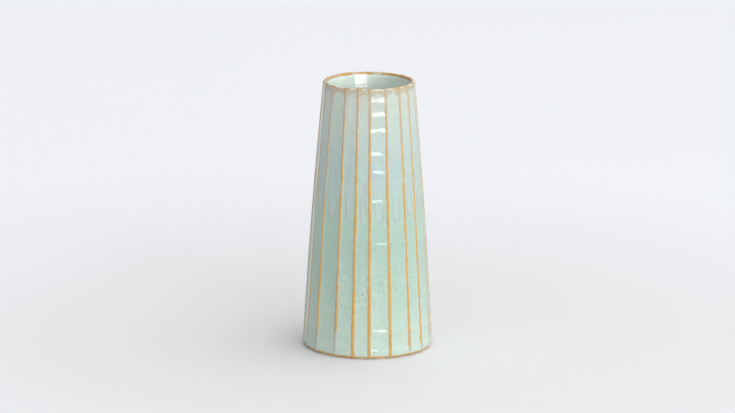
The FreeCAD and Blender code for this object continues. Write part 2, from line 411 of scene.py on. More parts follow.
def rib_values(azimuths, heights, back):
    """What a glaze shader reads about the ribs, with zeros for the points at the back."""
    zeros = np.zeros(back.shape[:2])
    return {"edge": flat(rib_distances(azimuths, heights)[1] / MM, zeros),
            "strength": flat(ochre_strength(azimuths, heights), zeros)}


def side_piece(name, left, right, columns, material):
    """A shell of glaze on the side, between two lines, that stands for a CAD node."""
    heights = SIDE_HEIGHTS[:, None]
    azimuths = between(left, right, columns)
    front = on_side(azimuths, heights)
    back = on_side(between(left, right, BACK_COLUMNS), heights, GLAZE_DEPTH)
    values = rib_values(azimuths, heights, back)
    return make_piece(f"{name}_glaze", flat(front, back), shell_faces(front, back), values,
                      material, name)


def rib_border(rib, side):
    """Azimuth of the border between a rib's piece and the flute on one side of it."""
    half = rib_half_width(rib, SIDE_HEIGHTS) + RIB_MARGIN
    return rib_centre(rib, SIDE_HEIGHTS) + side * half / crest_radius(SIDE_HEIGHTS)


def mint_panel(flute, material):
    following = (flute + 1) % FLUTES
    right = rib_border(following, -1) + (TURN if following == 0 else 0)
    return side_piece(PANEL_NAMES[flute], rib_border(flute, 1), right, PANEL_COLUMNS, material)


def ochre_rib(rib, material):
    return side_piece(RIB_NAMES[rib], rib_border(rib, -1), rib_border(rib, 1), RIB_COLUMNS, material)


# The second dip.

TONGUE_SHARE = 0.55  # width of a tongue as a share of the bare flute, on average
TONGUE_SHARE_WAVES = [(74, 0.25, RIB_CELLS, HEIGHT)]
TONGUE_WIDTH_WAVES = [(71, 0.10, RIB_CELLS, 9 * MM)]
TONGUE_WIDTH_TURN = 0.15  # the width's noise is read this far round from the rib
TONGUE_WANDER = [(72, 0.25 * MM, RIB_CELLS, 15 * MM)]
TONGUE_TIP_STRETCH = 1.4  # length of a tip's round end as a share of its half-width
TONGUE_TIP_START = 0.06  # how far round the tip its first row is, as a share
TONGUE_LENGTH = 40 * MM  # from its tip to where the dip covers the whole flute
TONGUE_STRAIGHT = 14 * MM  # the part above the tip that keeps its width
DIP_SWELL_WIDTH = 1.5 * MM  # the dip reaches its full thickness this far from its edge
DIP_SWELL_POWER = 0.7  # below 1 its edge is blunt
TONGUE_COLUMNS = 25
TONGUE_BACK_STEP = 4  # the back of a tongue has every fourth column
TONGUE_TIP_ROWS = 14
TONGUE_SIDE_ROWS = 120


def tongue_tips():
    """Lowest point of the second dip in each flute."""
    points = corners("milky_dip")
    flute = flute_of(azimuth_of(points[:, 0], points[:, 1]))
    return [points[flute == number, 2].min() for number in range(FLUTES)]


def tongue_heights(tip, round_height):
    """Row heights of one tongue, crowded where its tip is round."""
    turn = np.linspace(TONGUE_TIP_START, 1, TONGUE_TIP_ROWS) * np.pi / 2
    rounded = tip + round_height * (1 - np.cos(turn))
    straight = np.linspace(tip + round_height, FLUTE_TOP, TONGUE_SIDE_ROWS)
    return np.concatenate([rounded, straight[1:]])


def tongue_half_width(flute, tip, heights, tongue_share, bare_half_width):
    """Half-width of the dip in one flute: all the bare width above, then a tongue."""
    wavy = 1 + unevenness(TONGUE_WIDTH_WAVES, RIB_AZIMUTHS[flute] + TONGUE_WIDTH_TURN, heights)
    widening = smooth((heights - tip - TONGUE_STRAIGHT) / (TONGUE_LENGTH - TONGUE_STRAIGHT))
    share = mix(tongue_share * wavy, 1, widening)
    round_height = TONGUE_TIP_STRETCH * tongue_share * bare_half_width
    inside = np.clip(1 - (heights - tip) / round_height, 0, 1)
    return share * bare_half_width * np.sqrt(1 - inside ** 2)


def bare_flute(flute, heights):
    """Azimuths of the two edges of the flute between the ochre of its ribs."""
    following = (flute + 1) % FLUTES
    radius = crest_radius(heights)
    left = rib_centre(flute, heights) + rib_half_width(flute, heights) / radius
    right = rib_centre(following, heights) - rib_half_width(following, heights) / radius
    return left, right + (TURN if following == 0 else 0)


def dip_tongue(flute, tip):
    """Front and back points of the dip in one flute, with two distances of each front point:
    in from the edge of the dip, and up from its tip."""
    full = (FLUTE_ANGLES[flute] * crest_radius(tip) - 2 * RIB_HALF_WIDTH[0]) / 2
    tongue_share = TONGUE_SHARE * (1 + unevenness(TONGUE_SHARE_WAVES, RIB_AZIMUTHS[flute], 0))
    heights = tongue_heights(tip, TONGUE_TIP_STRETCH * tongue_share * full)
    radius = crest_radius(heights)
    left, right = bare_flute(flute, heights)
    centre = (left + right) / 2
    wander = unevenness(TONGUE_WANDER, left, heights) / radius
    middle = np.where(heights > tip + TONGUE_LENGTH, centre, centre + wander)
    bare = (right - left) / 2 * radius
    half = tongue_half_width(flute, tip, heights, tongue_share, bare) / radius
    across = np.linspace(-1, 1, TONGUE_COLUMNS)
    azimuths = middle[:, None] + half[:, None] * across[None, :]
    from_side = (half * radius)[:, None] * (1 - np.abs(across))[None, :]
    above = np.broadcast_to((heights - tip)[:, None], from_side.shape)
    inside = np.minimum(from_side, above)
    swell = smooth(inside / DIP_SWELL_WIDTH) ** DIP_SWELL_POWER
    front = on_side(azimuths, heights[:, None], -DIP_EDGE - DIP_THICKNESS * swell)
    back = on_side(azimuths[:, ::TONGUE_BACK_STEP], heights[:, None], DIP_SUNK)
    return front, back, np.stack([inside, above], axis=-1)


def milky_dip(material):
    """The second dip as one mesh with a tongue in each flute."""
    points, faces, distances = [], [], []
    start = 0
    for flute, tip in enumerate(tongue_tips()):
        front, back, from_edge = dip_tongue(flute, tip)
        faces += shell_faces(front, back, start)
        points.append(flat(front, back))
        distances.append(flat(from_edge, from_edge[:, ::TONGUE_BACK_STEP]) / MM)
        start += len(points[-1])
    inside, above_tip = np.concatenate(distances).T.copy()
    values = {"inside": inside, "above_tip": above_tip}
    return make_piece("milky_dip_glaze", np.concatenate(points), faces, values,
                      material, "milky_dip")


# Lip, foot and inside.

RING_AZIMUTHS = np.linspace(0, TURN, RING_COLUMNS, endpoint=False)
LIP_COAT = 0.45 * MM
LIP_STEPS = 22
LIP_SIDE_STEPS = 3  # rows between the crown and each end of the rim band
LIP_SIDE_SPAN = 0.3  # how far over_lip goes past 0 and 1 at those ends
LIP_CARRY = 0.45  # share of the way over the lip where the fluting has faded
LIP_WAVES = [(81, 0.12 * MM, 17, HEIGHT)]
LIP_LOWERING = 0.12 * MM  # on average; the waves stay inside it
FOOT_STEPS = 10
FOOT_ROLL = 1.1 * MM  # how far the glaze rolls in under the foot line
FOOT_BACK = 0.2 * MM  # depth of the foot line's back behind its front


def lip_profile(cover):
    """Radius, height and place over the lip, from the outside over the crown and down inside,
    at a depth below the glaze. The place is 0 where the crown starts and 1 where it ends."""
    flare = FLARE_SLOPE * (HEIGHT - FLUTE_TOP) / 2
    half = (LIP_RADIUS - LIP_INNER_RADIUS - flare) / 2
    spring = HEIGHT - half
    turn = np.linspace(0, np.pi, LIP_STEPS)
    crown_radius = LIP_RADIUS - half + (half - cover) * np.cos(turn)
    crown_height = spring + (half - cover) * np.sin(turn)
    outside_height = np.linspace(FLUTE_TOP, spring, LIP_SIDE_STEPS + 1)[:-1]
    outside_radius = np.full(LIP_SIDE_STEPS, LIP_RADIUS - cover)
    down = np.arange(LIP_SIDE_STEPS, 0, -1) / LIP_SIDE_STEPS
    inside_radius = LIP_INNER_RADIUS + cover + flare * (down - down[-1])
    over = np.concatenate([-LIP_SIDE_SPAN * down, turn / np.pi, 1 + LIP_SIDE_SPAN * down[::-1]])
    return (np.concatenate([outside_radius, crown_radius, inside_radius]),
            np.concatenate([outside_height, crown_height, outside_height[::-1]]), over)


def rim_band(material):
    """The glaze over the lip, still a little fluted where its outside starts."""
    radius, height, over = lip_profile(0)
    back_radius, back_height, over = lip_profile(LIP_COAT)
    carry = 1 - smooth(over / LIP_CARRY)
    seam = surface_radius(RING_AZIMUTHS, FLUTE_TOP) - LIP_RADIUS
    azimuth = np.broadcast_to(RING_AZIMUTHS, (len(radius), RING_COLUMNS))
    uneven = unevenness(LIP_WAVES, azimuth, 0) - LIP_LOWERING
    lowering = uneven * np.sin(np.clip(over, 0, 1) * np.pi)[:, None]
    front_radius = radius[:, None] + carry[:, None] * seam[None, :]
    front = turned_points(front_radius, azimuth, height[:, None] + lowering)
    back = turned_points(back_radius[:, None], azimuth, back_height[:, None] + lowering)
    values = rib_values(azimuth, FLUTE_TOP, back)
    over_lip = np.broadcast_to(over[:, None], azimuth.shape)
    values["over_lip"] = flat(over_lip, over_lip)
    return make_piece("rim_band_glaze", flat(front, back), ring_faces(front, back), values,
                      material, "rim_band")


def foot_line(material):
    """The last of the glaze, rolled in towards the bare foot."""
    share = np.linspace(0, 1, FOOT_STEPS)
    height = mix(FOOT_LINE_BOTTOM, FLUTE_BOTTOM, share)
    azimuth = np.broadcast_to(RING_AZIMUTHS, (FOOT_STEPS, RING_COLUMNS))
    seam = surface_radius(RING_AZIMUTHS, FLUTE_BOTTOM)
    roll = FOOT_ROLL * (1 - np.sqrt(1 - (1 - share) ** 2))
    front = turned_points(seam[None, :] - roll[:, None], azimuth, height[:, None])
    back = turned_points(seam.min() - FOOT_ROLL - FOOT_BACK, azimuth, height[:, None])
    values = rib_values(azimuth, FLUTE_BOTTOM, back)
    return make_piece("foot_line_glaze", flat(front, back), ring_faces(front, back), values,
                      material, "foot_line")


def liner_profile(cover):
    """Radius and height of the inside from the axis over the floor and up to the lip,
    at a depth below the glaze."""
    points = corners("liner_glaze")
    radius = np.hypot(points[:, 0], points[:, 1])
    floor_radius = radius[np.round(points[:, 2] - FLOOR_TOP, HEIGHT_DIGITS) <= 0].max()
    bend = COVE_RADIUS - LINER_COAT + cover
    floor = np.linspace(FLOOR_HOLE, floor_radius, FLOOR_RINGS)
    turn = np.linspace(-np.pi / 2, COVE_END, COVE_RINGS)[1:]
    cove_radius = floor_radius + bend * np.cos(turn)
    cove_height = FLOOR_TOP + COVE_RADIUS + bend * np.sin(turn)
    side_height = np.linspace(cove_height[-1], FLUTE_TOP, LINER_RINGS)[1:]
    ends = [cove_height[-1], FLUTE_TOP]
    side_radius = np.interp(side_height, ends, [cove_radius[-1], LIP_INNER_RADIUS + cover])
    floor_height = np.full(FLOOR_RINGS, FLOOR_TOP + LINER_COAT - cover)
    return (np.concatenate([floor, cove_radius, side_radius]),
            np.concatenate([floor_height, cove_height, side_height]))


def inside_relief(azimuth, height):
    """How far the inside stands in: throwing rings that climb as a spiral, and a soft swelling
    below the flared lip."""
    climb = height / RING_PITCH - azimuth / TURN
    start, full = SPIRAL_START
    above_floor = smooth((height - start) / (full - start))
    fade, end = SPIRAL_END
    below_lip = 1 - smooth((height - HEIGHT + fade) / (fade - end))
    rings = RING_RISE * (1 + np.sin(TURN * climb)) / 2 * above_floor * below_lip
    above = (height - FLUTE_TOP) / FLARE_HEIGHT + 1
    swelling = smooth(1 + above * FLARE_HEIGHT / SWELLING_HEIGHT)
    return rings + FLARE_SLOPE * FLARE_HEIGHT * np.minimum(swelling, 1 - above)


def liner(material):
    """The glaze poured inside, as one closed skin over the floor and the wall."""
    radius, height = liner_profile(0)
    back_radius, back_height = liner_profile(LINER_SKIN * LINER_COAT)
    azimuth = RING_AZIMUTHS[::LINER_COLUMN_STEP]
    relief = inside_relief(azimuth, height[:, None])
    front = turned_points(radius[:, None] - relief, azimuth, height[:, None])
    back = turned_points(back_radius[:, None], azimuth, back_height[:, None])
    faces = ring_faces(back, front, capped=True)
    return make_piece("liner_glaze_skin", flat(back, front), faces, {}, material,
                      "liner_glaze")


# Shader nodes.

SMALLEST_SPECK = 0.35  # as a share of the largest
SPECK_EDGE = (0.5, 0.3)  # from its rim to where it is full, as shares of its width


def paint(red, green, blue):
    """A colour written from 0 to 255, as a shader takes it."""
    def linear(channel):
        share = channel / 255
        return share / 12.92 if share <= 0.04045 else ((share + 0.055) / 1.055) ** 2.4
    return linear(red), linear(green), linear(blue), 1


class Pattern(NamedTuple):
    """Noise that goes from low to high between two of its levels."""

    size: float  # of a blob, in metres
    start: float
    end: float
    low: float = 0.0
    high: float = 1.0
    detail: float = 3.0
    stretch: float = 1.0  # how many times as tall as wide a blob is
    shift: float = 0.0  # moves the noise, so that two patterns differ


class NodeTree:
    """Nodes of one tree, added by short calls. What a call takes may be a number, a colour or
    another call's result."""

    def __init__(self, tree, coordinates):
        self.nodes = tree.nodes
        self.links = tree.links
        self.place = self.nodes.new("ShaderNodeTexCoord").outputs[coordinates]
        split = self.nodes.new("ShaderNodeSeparateXYZ")
        self.feed(split.inputs[0], self.place)
        self.x, self.y, self.height = split.outputs

    def feed(self, socket, value):
        if isinstance(value, bpy.types.NodeSocket):
            self.links.new(value, socket)
        else:
            socket.default_value = value

    def math(self, operation, first, second=0.0):
        node = self.nodes.new("ShaderNodeMath")
        node.operation = operation
        self.feed(node.inputs[0], first)
        self.feed(node.inputs[1], second)
        return node.outputs[0]

    def times(self, *factors):
        product = factors[0]
        for factor in factors[1:]:
            product = self.math("MULTIPLY", product, factor)
        return product

    def plus(self, first, second):
        return self.math("ADD", first, second)

    def minus(self, first, second):
        return self.math("SUBTRACT", first, second)

    def either(self, first, second):
        return self.math("MAXIMUM", first, second)

    def from_axis(self):
        """Distance from the vase's axis."""
        return self.math("SQRT", self.plus(self.times(self.x, self.x), self.times(self.y, self.y)))

    def step(self, value, start, end, low=0.0, high=1.0):
        """Goes smoothly from low to high while value goes from start to end."""
        node = self.nodes.new("ShaderNodeMapRange")
        node.interpolation_type = "SMOOTHSTEP"
        for name, number in (("Value", value), ("From Min", start), ("From Max", end),
                             ("To Min", low), ("To Max", high)):
            self.feed(node.inputs[name], number)
        return node.outputs["Result"]

    def by_height(self, start, end, low=0.0, high=1.0):
        """Goes from low to high between two heights in millimetres."""
        return self.step(self.height, start * MM, end * MM, low, high)

    def mix(self, share, first, second):
        node = self.nodes.new("ShaderNodeMix")
        node.data_type = "RGBA"
        for number, value in ((0, share), (6, first), (7, second)):
            self.feed(node.inputs[number], value)
        return node.outputs[2]

    def layers(self, colour, *layers):
        """A colour with others over it, each with its share."""
        for share, over in layers:
            colour = self.mix(share, colour, over)
        return colour

    def scaled_place(self, size, stretch, shift):
        mapping = self.nodes.new("ShaderNodeMapping")
        self.feed(mapping.inputs["Vector"], self.place)
        mapping.inputs["Scale"].default_value = (1 / size, 1 / size, 1 / (size * stretch))
        mapping.inputs["Location"].default_value = (shift, shift, shift)
        return mapping.outputs["Vector"]

    def noise(self, size, detail=2.0, stretch=1.0, shift=0.0):
        """Noise from 0 to 1 with blobs of that size in metres, stretch times as tall."""
        texture = self.nodes.new("ShaderNodeTexNoise")
        self.feed(texture.inputs["Vector"], self.scaled_place(size, stretch, shift))
        texture.inputs["Scale"].default_value = 1
        texture.inputs["Detail"].default_value = detail
        return texture.outputs[0]

    def pattern(self, pattern):
        noise = self.noise(pattern.size, pattern.detail, pattern.stretch, pattern.shift)
        return self.step(noise, pattern.start, pattern.end, pattern.low, pattern.high)

    def wobble(self, amount, size, stretch, shift):
        """Noise that goes half that amount below zero and half above it."""
        centred = self.minus(self.noise(size, 3, stretch, shift), 0.5)
        return self.times(centred, amount)

    def specks(self, spacing, size, share, shift=0.0):
        """Gives 1 inside round specks of that size, in a share of cells of that spacing."""
        texture = self.nodes.new("ShaderNodeTexVoronoi")
        self.feed(texture.inputs["Vector"], self.scaled_place(spacing, 1, shift))
        texture.inputs["Scale"].default_value = 1
        chance = self.nodes.new("ShaderNodeSeparateColor")
        self.feed(chance.inputs[0], texture.outputs["Color"])
        largest = size / spacing
        reach = self.step(chance.outputs["Green"], 0, 1, SMALLEST_SPECK * largest, largest)
        inside = self.step(self.math("DIVIDE", texture.outputs["Distance"], reach), *SPECK_EDGE)
        return self.times(inside, self.math("LESS_THAN", chance.outputs["Red"], share))


class Shader(NodeTree):
    """One material of the vase or the floor."""

    def __init__(self, name):
        self.material = bpy.data.materials.new(name)
        self.material.use_nodes = True
        super().__init__(self.material.node_tree, "Object")
        self.surface = self.nodes["Principled BSDF"]

    def attribute(self, name):
        node = self.nodes.new("ShaderNodeAttribute")
        node.attribute_name = name
        return node.outputs["Fac"]

    def finish(self, colour, roughness, relief):
        """Feeds the surface. relief is a height in millimetres."""
        bump = self.nodes.new("ShaderNodeBump")
        bump.inputs["Distance"].default_value = MM
        self.feed(bump.inputs["Height"], relief)
        self.feed(self.surface.inputs["Normal"], bump.outputs["Normal"])
        self.feed(self.surface.inputs["Base Color"], colour)
        self.feed(self.surface.inputs["Roughness"], roughness)
        return self.material


# Materials. Each tuple is what the call that reads it takes: for by_height that is two heights
# in millimetres and the share at each, and for noise a size, detail, stretch and shift.

MINT = paint(172, 194, 181)
MINT_DEEP = paint(158, 184, 170)
MINT_PALE = paint(189, 205, 193)
MILKY = paint(164, 186, 178)
MILKY_BLUE = paint(159, 182, 183)
MILKY_LILAC = paint(165, 172, 173)
TOP_GREY = paint(185, 195, 183)
TONGUE_LINE = paint(166, 164, 146)
HALO = paint(194, 200, 192)
HALO_ROSE = paint(190, 182, 178)
OCHRE = paint(198, 158, 86)
OCHRE_DEEP = paint(190, 147, 80)
OCHRE_PALE = paint(180, 166, 130)
OCHRE_ROSE = paint(178, 161, 134)
OCHRE_FAINT = paint(168, 158, 138)
LINER_MINT = paint(203, 219, 208)
LINER_PALE = paint(218, 228, 220)
RIM_GOLD = paint(186, 147, 80)
RIM_ROSE = paint(198, 174, 158)
# Painted highlight on the outside of the lip's crown.
RIM_PAINTED_HIGHLIGHT = paint(224, 222, 214)
RIM_BROWN = paint(168, 136, 106)
FOOT_BROWN = paint(132, 98, 66)
SPECK = paint(104, 100, 80)
CLAY = paint(214, 198, 176)
CLAY_DARK = paint(190, 168, 142)

CLOUDS = Pattern(14 * MM, 0.35, 0.62, stretch=1.8)
PALE_GRAIN = Pattern(1.3 * MM, 0.42, 0.66, high=0.6, shift=3)
DEEP_GRAIN = Pattern(1.9 * MM, 0.46, 0.66, shift=13)
# Painted bounce light from the floor: the mint grows paler towards the foot.
PAINTED_BOUNCE_FOOT = (60, 0, 0, 0.7)
# A darker band in the middle of the wall.
DARKER_MIDDLE_BEGINS = (45, 85, 0, 0.75)
DARKER_MIDDLE_ENDS = (135, 105)
MILKY_ABOVE = (100, 130, 0, 0.55)
GREY_ABOVE = (150, 194, 0, 0.9)
HALO_REACH = (1.5, 0.0, 0, 0.5)  # millimetres beside a rib, and the share at each
HALO_CLOUDS = (9 * MM, 2, 2.5, 7)


def mint_colour(shader, edge):
    """Cloudy celadon, paler at the foot as painted bounce light from the floor, darker in the middle
    of the wall, and thinner, so greyer, near the lip and the ribs.
    """
    darker_middle = shader.times(shader.by_height(*DARKER_MIDDLE_BEGINS), shader.by_height(*DARKER_MIDDLE_ENDS))
    near_rib = shader.times(shader.step(edge, *HALO_REACH), shader.noise(*HALO_CLOUDS))
    return shader.layers(
        shader.mix(shader.pattern(CLOUDS), MINT_DEEP, MINT),
        (shader.pattern(PALE_GRAIN), MINT_PALE),
        (shader.pattern(DEEP_GRAIN), MINT_DEEP),
        # painted bounce light from the floor, paler towards the foot
        (shader.by_height(*PAINTED_BOUNCE_FOOT), MINT_PALE),
        (darker_middle, MINT_DEEP),
        (shader.by_height(*MILKY_ABOVE), MILKY),
        (shader.by_height(*GREY_ABOVE), TOP_GREY),
        (near_rib, HALO))


LARGE_SPECKS = (4.2 * MM, 1.35 * MM, 0.34)
SMALL_SPECKS = (2.1 * MM, 0.8 * MM, 0.30, 5)
SPECKS_BELOW = (120, 60, 0.25, 1)
SPECK_SHARE = 0.85


def add_specks(shader, colour):
    """Iron specks, mostly in the lower half, with a pinhole at each."""
    pits = shader.either(shader.specks(*LARGE_SPECKS), shader.specks(*SMALL_SPECKS))
    share = shader.times(pits, shader.by_height(*SPECKS_BELOW), SPECK_SHARE)
    return shader.mix(share, colour, SPECK), pits


OCHRE_BLOTCHES = Pattern(3 * MM, 0.36, 0.62, stretch=2.2, shift=11)
FADED_STRETCHES = Pattern(13 * MM, 0.54, 0.74, high=0.8, detail=2, stretch=3.0, shift=17)
FADED_ABOVE = (60, 130, 0.45, 1)
ROSE_ABOVE = (130, 192, 0, 0.9)
FAINT_STRENGTHS = (0.85, 0.15)  # strength at which the ochre starts to look faint, and does
ROSE_PATCHES = Pattern(4 * MM, 0.32, 0.62, 0.3, 0.9, shift=89)


def ochre_colour(shader, strength):
    """Honey ochre that breaks darker and paler along a rib, and fades under the lip."""
    faded = shader.times(shader.pattern(FADED_STRETCHES), shader.by_height(*FADED_ABOVE))
    return shader.layers(
        shader.mix(shader.pattern(OCHRE_BLOTCHES), OCHRE_DEEP, OCHRE),
        (faded, OCHRE_PALE),
        (shader.by_height(*ROSE_ABOVE), OCHRE_ROSE),
        (shader.step(strength, *FAINT_STRENGTHS), OCHRE_FAINT))


OCHRE_RAGS = (0.9, 1.6 * MM, 1.6, 23)  # how far its edge wobbles, in millimetres, and how
OCHRE_THINS_ABOVE = (165, 195, 0, 0.4)  # heights, and how much narrower, in millimetres
OCHRE_EDGE = (0.28, -0.16)
OCHRE_COVER = (0, 0.6, 0.35, 1)  # two strengths, and how well the ochre covers at each


def ochre_mask(shader, edge, strength):
    """The share of ochre over a rib, with a ragged edge, and less where the ochre is faint."""
    distance = shader.plus(edge, shader.wobble(*OCHRE_RAGS))
    distance = shader.minus(distance, shader.by_height(*OCHRE_THINS_ABOVE))
    return shader.times(shader.step(distance, *OCHRE_EDGE), shader.step(strength, *OCHRE_COVER))


GLAZE_WAVES = (5.5 * MM, 2, 0.8, 29)
GLAZE_WAVE_HEIGHT = 0.07  # these three heights are in millimetres
ORANGE_PEEL = (0.9 * MM, 2, 1, 31)
ORANGE_PEEL_HEIGHT = 0.006
PIT_DEPTH = 0.05


def glaze_relief(shader, pits):
    """Slow waves and a fine orange peel in the glass, in millimetres, with pinholes."""
    waves = shader.times(shader.noise(*GLAZE_WAVES), GLAZE_WAVE_HEIGHT)
    peel = shader.times(shader.noise(*ORANGE_PEEL), ORANGE_PEEL_HEIGHT)
    return shader.minus(shader.plus(waves, peel), shader.times(pits, PIT_DEPTH))


GLASSY_ROUGHNESS = Pattern(6 * MM, 0.35, 0.7, 0.05, 0.11, shift=37)
OCHRE_ROUGHNESS = Pattern(1.5 * MM, 0.3, 0.7, 0.16, 0.28, detail=2, shift=41)


def finish_glaze(shader, colour, ochre, pits):
    """Finishes a glaze that is glassy, and a little drier where it is ochre."""
    glassy = shader.times(shader.pattern(GLASSY_ROUGHNESS), shader.minus(1.0, ochre))
    dry = shader.times(shader.pattern(OCHRE_ROUGHNESS), ochre)
    return shader.finish(colour, shader.plus(glassy, dry), glaze_relief(shader, pits))


def side_glaze():
    """The glaze of the flutes and the ribs: one glaze that breaks to ochre where it is thin."""
    shader = Shader("fluted_glaze")
    edge, strength = shader.attribute("edge"), shader.attribute("strength")
    colour, pits = add_specks(shader, mint_colour(shader, edge))
    ochre = ochre_mask(shader, edge, strength)
    colour = shader.mix(ochre, colour, ochre_colour(shader, strength))
    return finish_glaze(shader, colour, ochre, pits)


BLUE_STREAKS = Pattern(6 * MM, 0.38, 0.62, stretch=4.0, shift=43)
LILAC_STREAKS = Pattern(4 * MM, 0.48, 0.68, high=0.9, detail=2, stretch=6.0, shift=47)
LILAC_BELOW = (170, 140, 0.35, 1)
MILKY_GRAIN = Pattern(1.3 * MM, 0.42, 0.66, high=0.45, shift=3)
DIP_GREY_ABOVE = (130, 195, 0, 0.9)
ROSE_WIDTH = (170, 196, 1.5, 3.4)  # of the rosy edge beside a rib, in millimetres
ROSE_EDGE = (1, 0.1)
ROSE_FROM_TIP = (38, 80, 0, 0.8)  # millimetres above the tongue's tip, and the share at each
ROSE_STREAKS = Pattern(6 * MM, 0.35, 0.6, detail=2, stretch=2.5, shift=73)
SCALLOP_DEPTH = 0.8  # how steeply the tint under the rim arches up in each flute
SCALLOP_EDGE = (191 * MM, 195.5 * MM)
LINE_WIDTH = (1.6, 0.1)  # millimetres from the edge of the dip
LINE_FROM_TIP = (28, 3, 0.04, 0.8)
LINE_PATCHES = Pattern(5 * MM, 0.3, 0.6, 0.4, 1, detail=2, stretch=1.5, shift=83)


def dip_glaze():
    """The second dip: milky and a little blue, outlined where it ends."""
    shader = Shader("milky_glaze")
    inside, above_tip = shader.attribute("inside"), shader.attribute("above_tip")
    lilac = shader.times(shader.pattern(LILAC_STREAKS), shader.by_height(*LILAC_BELOW))
    rose_place = shader.math("DIVIDE", inside, shader.by_height(*ROSE_WIDTH))
    beside_rib = shader.times(shader.step(rose_place, *ROSE_EDGE),
                              shader.step(above_tip, *ROSE_FROM_TIP),
                              shader.pattern(ROSE_STREAKS))
    arch = shader.minus(shader.height, shader.times(inside, SCALLOP_DEPTH * MM))
    under_rim = shader.times(shader.step(arch, *SCALLOP_EDGE), shader.pattern(ROSE_PATCHES))
    line = shader.times(shader.step(inside, *LINE_WIDTH), shader.pattern(LINE_PATCHES),
                        shader.step(above_tip, *LINE_FROM_TIP))
    colour = shader.layers(
        shader.mix(shader.pattern(BLUE_STREAKS), MILKY, MILKY_BLUE),
        (lilac, MILKY_LILAC),
        (shader.pattern(MILKY_GRAIN), HALO),
        (shader.by_height(*DIP_GREY_ABOVE), TOP_GREY),
        (beside_rib, HALO_ROSE),
        (under_rim, OCHRE_ROSE),
        (line, TONGUE_LINE))
    colour, pits = add_specks(shader, colour)
    return finish_glaze(shader, colour, 0.0, pits)


# Places over the lip, from 0 where its crown starts outside to 1 where it ends inside.
LIP_INSIDE = (0.6, 0.9)
RIM_WOBBLE = (3.5 * MM, 1.0, 53)
OUTER_WOBBLE = 0.30  # how far the two limits of the ochre wobble
INNER_WOBBLE = 0.20
CROWN_OUTER = (0.02, 0.16)
CROWN_INNER = (1.10, 1.01)
BELOW_CROWN = (0.25, 0.0)
TINT_BELOW = (0.20, 0.0)
ROSE_START = (0.16, 0.04)
LIP_OUTSIDE = (0.66, 0.44)
OUTLINE = ((0.06, 0.16), (0.38, 0.26))
OUTLINE_SHARE = 0.6
THIN_PATCHES = Pattern(7 * MM, 0.34, 0.50, 0.45, 1, shift=59)
RIM_ROSE_PATCHES = Pattern(8 * MM, 0.52, 0.66, high=0.7, detail=2, shift=61)
GOLD_PATCHES = Pattern(6 * MM, 0.52, 0.60, detail=2, shift=79)
GOLD_BY_RIB = (2.8, 1.0)  # millimetres from the edge of a rib


def rim_gold(shader, across, edge):
    """The lip's ochre: gold and rose, with a painted white highlight outside where the gold leaves
    off, and outlined below.
    """
    patches = shader.either(shader.pattern(GOLD_PATCHES), shader.step(edge, *GOLD_BY_RIB))
    # Painted highlight: white over the outer crown, where the gold patches leave off.
    bare = shader.times(shader.step(across, *LIP_OUTSIDE), shader.minus(1.0, patches))
    start, end = OUTLINE
    outline = shader.times(shader.step(across, *start), shader.step(across, *end), OUTLINE_SHARE)
    return shader.layers(
        RIM_GOLD,
        (shader.pattern(RIM_ROSE_PATCHES), RIM_ROSE),
        (bare, RIM_PAINTED_HIGHLIGHT),
        (outline, RIM_BROWN),
        (shader.step(across, *ROSE_START), OCHRE_ROSE))


def rim_glaze():
    """Ochre over the crown of the lip, broken by mint and rose patches, mint on the inside."""
    shader = Shader("rim_glaze")
    edge, strength = shader.attribute("edge"), shader.attribute("strength")
    over_lip = shader.attribute("over_lip")
    across = shader.plus(over_lip, shader.wobble(OUTER_WOBBLE, *RIM_WOBBLE))
    inner = shader.plus(over_lip, shader.wobble(INNER_WOBBLE, *RIM_WOBBLE))
    mint = shader.mix(shader.step(over_lip, *LIP_INSIDE), mint_colour(shader, edge), LINER_PALE)
    colour, pits = add_specks(shader, mint)
    under_rim = shader.times(shader.step(across, *TINT_BELOW), shader.pattern(ROSE_PATCHES))
    crown = shader.times(shader.step(across, *CROWN_OUTER), shader.step(inner, *CROWN_INNER),
                         shader.pattern(THIN_PATCHES))
    below = shader.times(ochre_mask(shader, edge, strength), shader.step(across, *BELOW_CROWN))
    ochre = shader.either(crown, below)
    colour = shader.layers(colour, (under_rim, OCHRE_ROSE), (ochre, rim_gold(shader, across, edge)))
    return finish_glaze(shader, colour, ochre, pits)


FOOT_WOBBLE = (1.6 * MM, 6 * MM, 1.0, 67)
FOOT_OCHRE_BELOW = (2.7 * MM, 1.9 * MM)
FOOT_BROWN_BELOW = (1.7 * MM, 1.0 * MM)
FOOT_DEEPENING = 0.4  # how far the foot's ochre goes towards the deep one


def foot_glaze():
    """The thin end of the glaze: mint, then ochre, then a brown edge on the wiped clay."""
    shader = Shader("foot_glaze")
    edge, strength = shader.attribute("edge"), shader.attribute("strength")
    colour, pits = add_specks(shader, mint_colour(shader, edge))
    height = shader.plus(shader.height, shader.wobble(*FOOT_WOBBLE))
    ochre = shader.either(shader.step(height, *FOOT_OCHRE_BELOW), ochre_mask(shader, edge, strength))
    colour = shader.layers(
        colour,
        (ochre, shader.mix(FOOT_DEEPENING, OCHRE, OCHRE_DEEP)),
        (shader.step(height, *FOOT_BROWN_BELOW), FOOT_BROWN))
    return finish_glaze(shader, colour, ochre, pits)


LINER_CLOUDS = Pattern(12 * MM, 0.35, 0.65)
LINER_POOL = (40, 12, 0, 0.7)


def liner_finish():
    """The inside glaze: even mint, deeper in colour where it pools on the floor."""
    shader = Shader("liner_glaze")
    colour = shader.mix(shader.pattern(LINER_CLOUDS), LINER_MINT, LINER_PALE)
    colour = shader.mix(shader.by_height(*LINER_POOL), colour, MINT_DEEP)
    colour, pits = add_specks(shader, colour)
    return finish_glaze(shader, colour, 0.0, pits)


